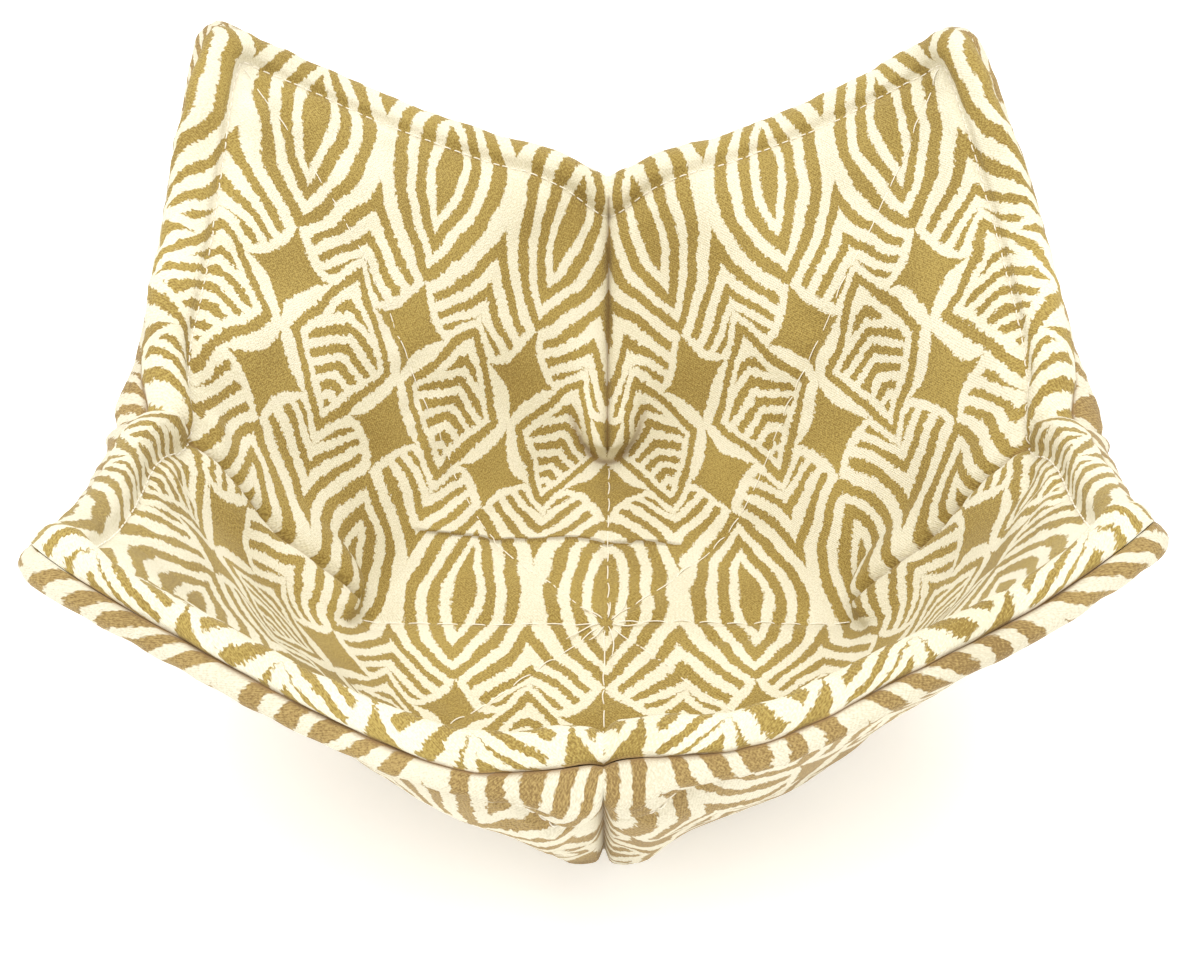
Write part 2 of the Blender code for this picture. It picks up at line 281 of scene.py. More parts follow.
def from_dart(s, t):
    """Distance from the nearest dart's seam, and how far past the dart's tip."""
    u, v = flat_point(s, t, HALF)
    from_leg = np.minimum(u, v) - dart_leg(np.maximum(u, v))
    return from_leg, np.maximum(s, t) - DART_REACH


def nose_distance(from_leg, past_tip):
    """0 on the dart's line and 1 on the rounded edge of its puffed nose."""
    below = np.clip(NOSE_TOP - past_tip, 0, None) / (NOSE_TOP + NOSE_DROP)
    return np.sqrt((from_leg / NOSE_HALF_WIDTH) ** 2 + below**2)


def dart_nose(from_leg, past_tip):
    """The puffed nose's height as a share: 1 on the dart's line, 0 at the nose's edge and far above it."""
    reach = np.clip(nose_distance(from_leg, past_tip), 0, 1)
    return (1 - reach**2) ** 0.6 * (1 - smooth((past_tip - 0.006) / 0.026))


def nose_edge(from_leg, past_tip):
    """1 in the crease round the nose's lower edge."""
    crease = bell((nose_distance(from_leg, past_tip) - 1.06) * NOSE_HALF_WIDTH, 0.0015)
    return crease * (1 - smooth((past_tip - 0.004) / 0.010))


def nose_puff(s, t, corner):
    """How puffed a dart's nose is: most at the back."""
    return np.where(t >= s, 1.0 if corner[1] > 0 else 0.5, 0.45)


def padding_relief(x, y, side):
    """Slow swells of the padding."""
    return 0.00045 * undulation(x, y, 11 + side, 0.034) + 0.00016 * undulation(x, y, 21 + side, 0.013)


def quilting_relief(s, t, corner, inside):
    """Valleys along the ears' diagonals and across the floor, with small pulls across them."""
    x, y = corner[0] * s, corner[1] * t
    near, far = np.minimum(s, t), np.maximum(s, t)
    along = (s + t) / math.sqrt(2)
    diagonal = (t - s) / math.sqrt(2) - wander(along, wander_seed(corner))
    cross_end = smooth((DART_REACH - far) / 0.006)
    valley = 0.0008 * (bell(diagonal, 0.0011) + bell(diagonal, 0.0055))
    valley_across = 0.0008 * (bell(near, 0.0011) + bell(near, 0.0055)) * cross_end
    relief = -np.maximum(valley, valley_across) * inside
    pull = np.sin(2 * math.pi * along / 0.0083 + 2.2 * undulation(x, y, 41, 0.03))
    relief = relief + 0.00026 * pull * bell(diagonal, 0.008) * smooth(np.abs(diagonal) / 0.002) * inside
    pull = np.sin(2 * math.pi * far / 0.0091 + 2.0 * undulation(x, y, 43, 0.03))
    return relief + 0.00024 * pull * bell(near, 0.008) * smooth(near / 0.002) * cross_end


def dart_relief(s, t, corner, side, inside):
    """A sharp seam between two soft pillows with small gathers, and a puffed nose at the dart's tip."""
    far = np.maximum(s, t)
    rim = HALF - far
    from_leg, past_tip = from_dart(s, t)
    from_seam = np.clip(from_leg / PILLOW_HALF_WIDTH, 0, 1)
    outside = np.clip(from_leg - PILLOW_HALF_WIDTH, 0, None)
    pillow = PILLOW_HEIGHT[side] * np.sqrt(1 - (1 - from_seam) ** 2) * bell(outside, 0.006)
    if side == LINING:
        pillow = pillow * (0.4 + 0.6 * smooth(rim / 0.012))
    seam = DART_DEPTH[side] * (0.2 + 0.8 * smooth(rim / 0.014)) * bell(from_leg, 0.0010)
    gather = np.sin(2 * math.pi * far / 0.0072 + 2.0 * undulation(corner[0] * s, corner[1] * t, 47, 0.03))
    gather = 0.00010 * gather * bell(from_leg - 0.003, 0.006) * inside
    nose = NOSE_HEIGHT[side] * dart_nose(from_leg, past_tip)
    nose = nose - NOSE_CREASE[side] * nose_edge(from_leg, past_tip)
    return (pillow - seam + gather) * smooth(past_tip / 0.005) + nose_puff(s, t, corner) * nose


def rim_relief(s, t, corner, side):
    """The topstitched valley, the puckers that run in from it, and the bulky corner at the ear's tip."""
    x, y = corner[0] * s, corner[1] * t
    rim = HALF - np.maximum(s, t)
    from_stitches = rim - TOPSTITCH_INSET
    relief = -0.00100 * bell(from_stitches, 0.0013) - 0.00045 * bell(from_stitches, 0.0045)
    relief = relief + 0.00085 * smooth((-0.0006 - from_stitches) / 0.0028)
    relief = relief + 0.00032 * undulation(x, y, 51 + side, 0.0075) * bell(rim - 0.0085, 0.0055)
    relief = relief + 0.00022 * undulation(x, y, 55 + side, 0.009) * bell(rim, 0.0045)
    return relief + TIP_SWELL[side] * bell(np.hypot(HALF - s, HALF - t), 0.0085)


def floor_creases(x, y):
    """A tuck across the lining's floor, and two creases that run in from the darts' tips."""
    below = y - tuck_line(x)
    lip = np.where(below > 0, np.exp(-below / 0.006), 0)
    relief = (0.0009 * lip - 0.0003 * bell(np.minimum(below, 0) + 0.0006, 0.0012)) * tuck_reach(x)
    crease = y + 0.0058 + 0.05 * (x - 0.03)
    reach = smooth((x - 0.016) / 0.008) * smooth((0.052 - x) / 0.008)
    relief = relief + (0.0006 * bell(crease - 0.003, 0.003) - 0.0008 * bell(crease, 0.0011)) * reach
    crease = y + 0.0035 - 0.04 * (x + 0.05)
    reach = smooth((x + 0.062) / 0.006) * smooth((-0.044 - x) / 0.006)
    return relief - 0.0008 * bell(crease, 0.0011) * reach


def thickness(s, t, corner, side):
    """Height of one cloth's visible face above the middle of the wall."""
    x, y = corner[0] * s, corner[1] * t
    inside = smooth((HALF - np.maximum(s, t) - 0.004) / 0.006)
    height = HALF_WALL + padding_relief(x, y, side) * inside + quilting_relief(s, t, corner, inside)
    height = height + dart_relief(s, t, corner, side, inside) + rim_relief(s, t, corner, side)
    if side == LINING:
        return height + floor_creases(x, y)
    u, v = flat_point(s, t, HALF)
    on_floor = smooth((WALL_FOOT + 0.004 - (u + v) / math.sqrt(2)) / 0.012)
    pressed_flat = np.minimum(height, HALF_WALL)
    return height + (pressed_flat - height) * smooth(on_floor * 1.6)


def crease_shade(s, t, corner, side):
    """Painted shade in the seams and creases of the visible face and round the dart's nose, as a share of
    the rim seam's painted shade.
    """
    from_leg, past_tip = from_dart(s, t)
    seam = 0.75 * bell(from_leg, 0.0007) * smooth((past_tip + 0.001) / 0.004)
    valley = 0.36 * bell(HALF - np.maximum(s, t) - TOPSTITCH_INSET, 0.0007)
    shade = np.maximum(seam, valley)
    if side == LINING:
        nose = (nose_puff(s, t, corner) - 0.2) * nose_edge(from_leg, past_tip)
        shade = np.maximum(shade, 0.9 * nose)
    return shade


def bow(s, t, corner):
    """How far the whole wall strays from its plain shape, outwards."""
    swell = undulation(corner[0] * s, corner[1] * t, 71, 0.060)
    return 0.0008 * swell * smooth((np.maximum(s, t) - 0.055) / 0.04)


def face_grid(lines, side, depth, corner):
    """Places of a quarter's mesh points, a depth under the visible face of one side's cloth."""
    s, t = np.meshgrid(lines, lines, indexing="ij")
    u, v = flat_point(s, t, HALF)
    offset = side * (thickness(s, t, corner, side) - depth) + bow(s, t, corner)
    points = folded(u, v, offset, corner)
    points[0, :, 0] = 0
    points[:, 0, 1] = 0
    return points, np.stack([corner[0] * u, corner[1] * v], axis=-1)


# The roll's turns from the visible face over the rim to the seam, in degrees, and how square it is there
ROLL_TURNS = (90, 74, 58, 42, 26, 10, -5, -15, -26, -37, -48, -58, -68, -77)
SEAM_SQUARENESS = 0.52
SEAM_GAP = 0.00005
USUAL_EDGE_HEIGHT = 0.0052

# How much further the lining rolls over the back ears' side edges, and how much less the outer panel
SIDE_EDGE_TURN = {LINING: 0.40, OUTER: -0.40}


def pressed(lines, x, y):
    """Where the two rolls part above their seam, as a share of the roll's reach: 1 is flush with its top."""
    uneven = 0.75 + 0.12 * undulation(x, y, 95, 0.014)
    return uneven + (0.99 - uneven) * smooth((lines - (HALF - 0.014)) / 0.009)


class RimStep:
    """One line of places along the rim's roll.

    beyond and height_of place it in the roll's section, printed is its distance beyond the sewn edge on
    the flat cloth and painted_shade its painted shade, standing in for the shade in the seam's crack.
    closing_inset is its depth in the cloth where the two rolls meet.
    """

    def __init__(self, beyond, height_of, printed=0.0, painted_shade=0.0, closing_inset=None):
        self.beyond = beyond
        self.height_of = height_of
        self.printed = printed
        self.painted_shade = painted_shade
        self.closing_inset = closing_inset


def rim_run(lines, side, corner, run, step):
    """One run of places along the rim, from the dart to the ear."""
    level = np.full_like(lines, HALF)
    s, t = (level, lines) if run == 0 else (lines, level)
    edge_height = thickness(s, t, corner, side)
    x, y = corner[0] * s, corner[1] * t
    swell = 1 + 0.10 * undulation(x, y, 61 + side, 0.016) + 0.05 * undulation(x, y, 65 + side, 0.006)
    if run == 0 and corner[1] > 0:
        # At the back ears' side edges the lining rolls over towards the outside
        rolled = smooth(lines / 0.045) * smooth((HALF - lines) / 0.025)
        swell = swell * (1 + SIDE_EDGE_TURN[side] * rolled)
    far = step.beyond * (swell if step.beyond > 0 else 1)
    if step.closing_inset is not None:
        far = np.maximum(far, RIM_ROLL * swell * pressed(lines, x, y) - step.closing_inset)
    edge = HALF + far
    scaled = lines * edge / HALF
    top = edge + 0 * lines
    if run == 0:
        u, v = flat_point(top, scaled, edge)
    else:
        u, v = flat_point(scaled, top, edge)
    offset = side * step.height_of(edge_height) + bow(s, t, corner)
    points = folded(u, v, offset, corner)
    points[0, 1 if run == 0 else 0] = 0
    edge = HALF + step.printed
    scaled, top = lines * edge / HALF, edge + 0 * lines
    u, v = flat_point(top, scaled, edge) if run == 0 else flat_point(scaled, top, edge)
    return points, np.stack([corner[0] * u, corner[1] * v], axis=-1)


def roll_steps(inset):
    """The rim's roll from the visible face to the seam, an inset under the cloth's face."""
    steps = []
    printed = 0
    before = None
    for turn in ROLL_TURNS:
        angle = math.radians(turn)
        power = 1 if turn > 0 else SEAM_SQUARENESS
        beyond = (RIM_ROLL - inset) * abs(math.cos(angle)) ** power
        if abs(beyond) < 1e-9:
            beyond = 0

        rise = math.copysign(abs(math.sin(angle)) ** power, angle)

        def height_of(edge_height, rise=rise):
            middle = (edge_height + SEAM_GAP) / 2
            half_height = (edge_height - SEAM_GAP) / 2 - inset
            return middle + half_height * rise

        here = (beyond, height_of(USUAL_EDGE_HEIGHT))
        if before is not None:
            printed += math.hypot(here[0] - before[0], here[1] - before[1])
        before = here
        # Painted shade, deepening down into the seam's crack from a turn of -30 degrees to the seam
        painted_shade = max(0, (-turn - 30) / 47)
        steps.append(RimStep(beyond, height_of, printed, painted_shade, inset if turn < -10 else None))
    return steps


# The flat panel's square with its margin in metres, and where each surface lies in the bake map:
# left, bottom, scale
FLAT_MAP = 0.269
VISIBLE_MAP = (0, 0, 0.8)
UNDERSIDE_MAP = (0.81, 0, 0.18)
TURNED_IN_MAPS = ((0.81, 0.2, 0.18), (0.81, 0.4, 0.18))
WADDING_MAPS = ((0, 0, 0.45), (0.5, 0, 0.45), (0, 0.5, 0.45))


class Cloth:
    """Points and faces of one closed surface, with its flat places for the print."""

    def __init__(self):
        self.points, self.flat, self.baked, self.painted_shade, self.faces = [], [], [], [], []
        self.count = 0

    def add(self, points, flat, corner_of_map, painted_shade, turned):
        rows, columns = points.shape[:2]
        index = self.count + np.arange(rows * columns).reshape(rows, columns)
        quads = np.stack([index[:-1, :-1], index[1:, :-1], index[1:, 1:], index[:-1, 1:]], axis=-1)
        quads = quads.reshape(-1, 4)
        self.faces.append(quads[:, ::-1] if turned else quads)
        left, bottom, scale = corner_of_map
        self.points.append(points.reshape(-1, 3))
        self.flat.append(flat.reshape(-1, 2))
        baked = (flat + FLAT_MAP / 2) / FLAT_MAP * scale + np.array([left, bottom])
        self.baked.append(baked.reshape(-1, 2))
        self.painted_shade.append((np.zeros((rows, columns)) + painted_shade).reshape(-1))
        self.count += rows * columns

    def to_object(self, name, look):
        points = np.concatenate(self.points)
        flat, baked = np.concatenate(self.flat), np.concatenate(self.baked)
        painted_shade, faces = np.concatenate(self.painted_shade), np.concatenate(self.faces)
        keys = np.round(points * 2e6).astype(np.int64)
        _, first, merged = np.unique(keys, axis=0, return_index=True, return_inverse=True)
        merged = merged.reshape(-1)
        rows = []
        sources = []
        for quad, kept in zip(faces.tolist(), merged[faces].tolist()):
            row, source = [], []
            for place, vertex in zip(quad, kept):
                if vertex not in row:
                    row.append(vertex)
                    source.append(place)
            if len(row) > 2:
                rows.append(row)
                sources.extend(source)
        mesh = bpy.data.meshes.new(name)
        mesh.from_pydata(points[first].tolist(), [], rows)
        for label, places in (("OFBake", baked), ("flat", flat)):
            layer = mesh.uv_layers.new(name=label)
            layer.uv.foreach_set("vector", places[sources].astype(np.float32).ravel())
        shade = mesh.attributes.new("painted_shade", "FLOAT", "POINT")
        shade.data.foreach_set("value", painted_shade[first].astype(np.float32))
        mesh.shade_smooth()
        mesh.materials.append(look)
        made = bpy.data.objects.new(name, mesh)
        bpy.context.scene.collection.objects.link(made)
        return made


def make_cloth(name, side, look, count):
    """One cotton panel: visible face, rolled rim, seam, turned-in edge, and the face under it."""
    lines = mesh_lines(count)
    cloth = Cloth()
    near, far = SEAM_GAP, SEAM_GAP + FABRIC
    steps = roll_steps(0)[1:]
    edge = steps[-1].printed
    steps.append(RimStep(0, lambda height: near, edge + 0.002, 1))
    steps.append(RimStep(-TOPSTITCH_INSET, lambda height: near, edge + 0.005, 1))
    hidden = [RimStep(-TOPSTITCH_INSET, lambda height: far, 0.004), RimStep(0, lambda height: far, 0.002)]
    for step in reversed(roll_steps(FABRIC)[1:]):
        hidden.append(RimStep(step.beyond, step.height_of, closing_inset=step.closing_inset))
    for corner in CORNERS:
        facing = (corner[0] * corner[1] > 0) == (side > 0)
        front, front_flat = face_grid(lines, side, 0, corner)
        back, back_flat = face_grid(lines, side, FABRIC, corner)
        shade = crease_shade(*np.meshgrid(lines, lines, indexing="ij"), corner, side)
        cloth.add(front, front_flat, VISIBLE_MAP, shade, facing)
        cloth.add(back, back_flat, UNDERSIDE_MAP, 0, not facing)
        for run in (0, 1):
            edges = [grid[-1, :] if run == 0 else grid[:, -1] for grid in (front, front_flat, back)]
            seen = [rim_run(lines, side, corner, run, step) for step in steps]
            # The seam's painted shade fades near the ear's tip, where the two rolls close
            short_of_tip = smooth((HALF - 0.004 - lines) / 0.012)
            painted_shades = np.array([0] + [step.painted_shade for step in steps])[None, :]
            painted_shades = painted_shades * (0.10 + 0.90 * short_of_tip)[:, None]
            places = np.stack([edges[0]] + [p for p, _ in seen], axis=1)
            flat = np.stack([edges[1]] + [f for _, f in seen], axis=1)
            cloth.add(places, flat, VISIBLE_MAP, painted_shades, facing == (run == 1))
            inner = [rim_run(lines, side, corner, run, step) for step in hidden]
            places = np.stack([seen[-1][0]] + [p for p, _ in inner] + [edges[2]], axis=1)
            flat = np.stack([inner[0][1]] + [f for _, f in inner] + [inner[-1][1]], axis=1)
            cloth.add(places, flat, TURNED_IN_MAPS[run], 0, facing == (run == 1))
    return cloth.to_object(name, look)


def make_wadding(name, side, look, count):
    """One square of batting between its cotton and the middle of the wall."""
    lines = mesh_lines(count)
    cloth = Cloth()
    depth = FABRIC + LAYER_GAP
    steps = [step for step in roll_steps(depth)[1:] if step.height_of(0.005) > TURNED_IN]
    for corner in CORNERS:
        facing = (corner[0] * corner[1] > 0) == (side > 0)
        outer, flat = face_grid(lines, side, depth, corner)
        s, t = np.meshgrid(lines, lines, indexing="ij")
        u, v = flat_point(s, t, HALF)
        under = np.where(np.maximum(s, t) > HALF - TOPSTITCH_INSET * 1.3, TURNED_IN, LAYER_GAP / 2)
        inner = folded(u, v, side * under + bow(s, t, corner), corner)
        inner[0, :, 0] = 0
        inner[:, 0, 1] = 0
        cloth.add(outer, flat, WADDING_MAPS[0], 0, facing)
        cloth.add(inner, flat, WADDING_MAPS[1], 0, not facing)
        for run in (0, 1):
            edges = [grid[-1, :] if run == 0 else grid[:, -1] for grid in (outer, inner)]
            kept = [rim_run(lines, side, corner, run, step) for step in steps]
            places = np.stack([edges[0]] + [p for p, _ in kept] + [edges[1]], axis=1)
            flats = np.stack([kept[0][1]] + [f for _, f in kept] + [kept[-1][1]], axis=1)
            cloth.add(places, flats, WADDING_MAPS[2], 0, facing == (run == 1))
    return cloth.to_object(name, look)


# Stitches


def on_cloth(s, t, lift, corner, side):
    """Points at a height over the visible face of one side's cloth."""
    u, v = flat_point(s, t, HALF)
    offset = side * (thickness(s, t, corner, side) + lift) + bow(s, t, corner)
    return folded(u, v, offset, corner)


THREAD_SIDES = 6

# Stitches: thread radius, pitch, share of the pitch that shows, and slack
TOPSTITCH = {"radius": 0.00016, "pitch": 0.0030, "share": 0.82, "slack": 0.00008}
QUILTING_RADIUS = 0.00015
QUILTING_SHARE = 0.93
QUILTING_SLACK = 0.00045
DIAGONAL_PITCH = 0.0066
CROSS_PITCH = 0.0064

# Cut thread ends where the quilting lines cross: corner, direction in degrees, length and bend
CUT_ENDS = (
    (0, 35, 0.009, 0.4), (1, 62, 0.007, -0.5), (2, 20, 0.011, 0.3), (2, 74, 0.008, -0.2),
    (3, 30, 0.010, -0.4), (3, 66, 0.012, 0.3), (0, 70, 0.006, 0.2),
)


def tube(path, up, radius):
    """Points and faces of a thread along a path, with closed pointed ends."""
    ahead = np.gradient(path, axis=0)
    ahead /= np.linalg.norm(ahead, axis=1, keepdims=True)
    across = np.cross(ahead, up)
    across /= np.maximum(np.linalg.norm(across, axis=1, keepdims=True), 1e-9)
    lift = np.cross(across, ahead)
    turns = np.arange(THREAD_SIDES) * 2 * math.pi / THREAD_SIDES
    size = np.full(len(path), radius)
    size[0] = size[-1] = radius * 0.55
    ring = across[:, None] * np.cos(turns)[None, :, None] + lift[:, None] * np.sin(turns)[None, :, None]
    points = path[:, None] + ring * size[:, None, None]
    faces = []
    for i in range(len(path) - 1):
        for j in range(THREAD_SIDES):
            k = (j + 1) % THREAD_SIDES
            a, b = i * THREAD_SIDES, (i + 1) * THREAD_SIDES
            faces.append((a + j, b + j, b + k, a + k))
    faces.append(tuple(range(THREAD_SIDES)))
    last = (len(path) - 1) * THREAD_SIDES
    faces.append(tuple(last + j for j in reversed(range(THREAD_SIDES))))
    return points.reshape(-1, 3), faces


class Thread:
    """Stitches of one line of sewing, gathered into one piece."""

    def __init__(self, radius):
        self.radius, self.points, self.faces, self.count = radius, [], [], 0

    def stitch(self, s, t, lift, corner, side):
        path = on_cloth(s, t, lift, corner, side)
        above = on_cloth(s, t, lift + 0.001, corner, side)
        up = above - path
        up /= np.linalg.norm(up, axis=1, keepdims=True)
        points, faces = tube(path, up, self.radius)
        self.faces.extend(tuple(self.count + i for i in face) for face in faces)
        self.points.append(points)
        self.count += len(points)

    def to_object(self, name, look):
        mesh = bpy.data.meshes.new(name)
        mesh.from_pydata(np.concatenate(self.points).tolist(), [], self.faces)
        mesh.shade_smooth()
        mesh.materials.append(look)
        made = bpy.data.objects.new(name, mesh)
        bpy.context.scene.collection.objects.link(made)
        return made


def stitch_line(thread, places, start, end, pitch, share, slack, side, corner, random):
    """Stitches along a line of the flat cloth, given as a function from distance to mesh lines."""
    count = max(1, round((end - start) / pitch))
    step = (end - start) / count
    for k in range(count):
        length = step * share * random.uniform(0.88, 1.04)
        begin = start + k * step + step * (1 - share) / 2
        along = np.linspace(begin, begin + length, 8)
        bend = np.sin(np.linspace(0, math.pi, 8))
        s, t = places(along, bend * slack * random.uniform(-1, 1))
        arch = -0.0003 + (0.00046 + 0.3 * slack) * bend**0.4
        thread.stitch(s, t, arch, corner, side)


def topstitching(name, side, look):
    """The line of small stitches along the whole rim."""
    thread = Thread(TOPSTITCH["radius"])
    pitch, share, slack = TOPSTITCH["pitch"], TOPSTITCH["share"], TOPSTITCH["slack"]
    random = np.random.default_rng(83 + side)
    level = HALF - TOPSTITCH_INSET
    for corner in CORNERS:
        for run in (0, 1):

            def places(along, aside, run=run):
                stray = 0.00025 * undulation(along, along * 0 + run, 85 + side, 0.03)
                edge = level + stray * smooth(along / 0.01) * smooth((level - along) / 0.01) + aside
                return (edge, along) if run == 0 else (along, edge)

            stitch_line(thread, places, 0.0004, level - 0.0004, pitch, share, slack, side, corner, random)
    return thread.to_object(name, look)


def quilting(name, side, look):
    """The long stitches along the ears' diagonals and across the floor."""
    thread = Thread(QUILTING_RADIUS)
    random = np.random.default_rng(91 + side)
    share, slack = QUILTING_SHARE, QUILTING_SLACK
    for corner in CORNERS:

        def places(along, aside, seed=wander_seed(corner)):
            stray = wander(along, seed) + aside
            return (along - stray) / math.sqrt(2), (along + stray) / math.sqrt(2)

        reach = (HALF - TOPSTITCH_INSET) * math.sqrt(2)
        stitch_line(thread, places, 0.002, reach - 0.001, DIAGONAL_PITCH, share, slack, side, corner, random)
    for corner, run in ((CORNERS[0], 0), (CORNERS[0], 1), (CORNERS[2], 0), (CORNERS[2], 1)):

        def places(along, aside, run=run):
            aside = np.abs(aside) + 0.0002
            return (along, aside) if run == 0 else (aside, along)

        end = DART_REACH - 0.004
        stitch_line(thread, places, 0.002, end, CROSS_PITCH, share, slack, side, corner, random)
    if side == LINING:
        for corner, turn, length, bend in CUT_ENDS:
            along = np.linspace(0.0015, length, 8)
            angle = math.radians(turn) + bend * along / length
            rise = 0.0002 + 0.0009 * (along / length) ** 2
            thread.stitch(along * np.cos(angle), along * np.sin(angle), rise, CORNERS[corner], side)
    return thread.to_object(name, look)


# Materials


class Value:
    """A number in a material that differs from place to place."""

    def __init__(self, tree, socket):
        self.tree, self.socket = tree, socket

    def math(self, operation, *others):
        node = self.tree.nodes.new("ShaderNodeMath")
        node.operation = operation
        for slot, value in zip(node.inputs, (self, *others)):
            if isinstance(value, Value):
                self.tree.links.new(value.socket, slot)
            else:
                slot.default_value = value
        return Value(self.tree, node.outputs[0])

    def __add__(self, other):
        return self.math("ADD", other)

    def __sub__(self, other):
        return self.math("SUBTRACT", other)

    def __mul__(self, other):
        return self.math("MULTIPLY", other)

    def __truediv__(self, other):
        return self.math("DIVIDE", other)

    def abs(self):
        return self.math("ABSOLUTE")

    def sin(self):
        return self.math("SINE")

    def squared(self):
        return self * self

    def most(self, other):
        return self.math("MAXIMUM", other)

    def off_multiple(self, period):
        """Signed distance from the nearest multiple of the period."""
        shifted = self + period / 2
        return shifted.math("FLOORED_MODULO", period) - period / 2

    def soft_step(self, low, high):
        node = self.tree.nodes.new("ShaderNodeMapRange")
        node.interpolation_type = "SMOOTHSTEP"
        self.tree.links.new(self.socket, node.inputs["Value"])
        node.inputs["From Min"].default_value = low
        node.inputs["From Max"].default_value = high
        return Value(self.tree, node.outputs["Result"])

    def band(self, low, high, soft):
        """1 where the value is between low and high."""
        return self.soft_step(low - soft, low + soft) * self.soft_step(high + soft, high - soft)

    def under(self, limit, soft):
        return self.soft_step(limit + soft, limit - soft)


def noise(tree, vector, scale, detail=2.0, roughness=0.5):
    node = tree.nodes.new("ShaderNodeTexNoise")
    node.noise_dimensions = "2D"
    node.inputs["Scale"].default_value = scale
    node.inputs["Detail"].default_value = detail
    node.inputs["Roughness"].default_value = roughness
    tree.links.new(vector, node.inputs["Vector"])
    return Value(tree, node.outputs["Fac"])


def mix(tree, share, low, high):
    """A colour between two, each a colour or a socket."""
    node = tree.nodes.new("ShaderNodeMix")
    node.data_type = "RGBA"
    tree.links.new(share.socket, node.inputs["Factor"])
    for slot, value in ((node.inputs[6], low), (node.inputs[7], high)):
        if isinstance(value, bpy.types.NodeSocket):
            tree.links.new(value, slot)
        else:
            slot.default_value = (*value, 1)
    return node.outputs[2]


# The print's repeat, the size of a weave thread, and colours
PRINT_COLUMN, PRINT_ROW = 0.0329, 0.1020
WEAVE_PITCH = 0.00068
GROUND, BRIGHT = (0.71, 0.66, 0.48), (0.85, 0.805, 0.645)
GOLD, GOLD_DARK = (0.465, 0.345, 0.100), (0.255, 0.168, 0.040)
# The outer panel's colours: the same cotton as the lining, painted darker as shade
SHADED_OUTER_GROUND, SHADED_OUTER_BRIGHT = (0.64, 0.585, 0.43), (0.765, 0.715, 0.56)
SHADED_OUTER_GOLD, SHADED_OUTER_GOLD_DARK = (0.430, 0.305, 0.115), (0.235, 0.150, 0.052)
# Painted shade: the brown that darkens the rim seam's crack and the creases
PAINTED_SEAM_SHADE = (0.30, 0.18, 0.075)
# Painted shade: the dark line along the step of the floor's tuck
PAINTED_TUCK_SHADE = (0.16, 0.095, 0.035)


def ink_of(x, y, column, row):
    """1 where the cloth is printed: pointed ovals, chevron diamonds, stars, and arches between them."""
    soft = 0.012
    ax = x.off_multiple(column).abs() / column
    bx = (x + column / 2).off_multiple(column).abs() / column
    ay = y.off_multiple(row) / column
    by = (y + row / 2).off_multiple(row) / column

    oval = ax * 2 + (ay / 0.92).squared()
    rings = oval.under(0.16, soft).most(oval.band(0.30, 0.48, soft)).most(oval.band(0.65, 0.85, soft))

    diamond = bx / 0.45 + by.abs() / 0.62
    chevrons = ((by + bx * 0.55) * (2 * math.pi / 0.140)).sin().soft_step(-0.20, 0.10)
    framed = diamond.band(0.80, 0.97, soft).most(chevrons * diamond.under(0.66, soft))

    star_y = (by.abs() - 0.38).abs()
    star = (ax / 0.32).math("POWER", 0.68) + (star_y / 0.35).math("POWER", 0.68)
    stars = star.under(1.0, soft * 2)

    arches = oval.band(1.07, 1.26, soft).most(oval.band(1.48, 1.66, soft))
    arches = arches.most(oval.band(1.86, 2.02, soft))
    arches = arches * diamond.soft_step(1.11, 1.14) * star.soft_step(1.24, 1.29)
    return rings.most(framed).most(stars).most(arches)


def tuck_in_print(x, y):
    """How far the lining's print jumps below the floor's tuck, and 1 in the painted shade line along it."""
    line = ((x - TUCK_MIDDLE) * (math.pi / TUCK_WAVE) + math.pi / 2).sin() * TUCK_BOW + TUCK_Y
    left = x.soft_step(TUCK_LEFT, TUCK_LEFT + TUCK_FADE)
    reach = left * x.soft_step(TUCK_RIGHT, TUCK_RIGHT - TUCK_FADE)
    below = line - y
    jump = below.soft_step(-0.00005, 0.00005) * below.soft_step(0.022, 0.0) * reach * TUCK_JUMP
    return jump, below.abs().soft_step(0.0007, 0.0001) * reach


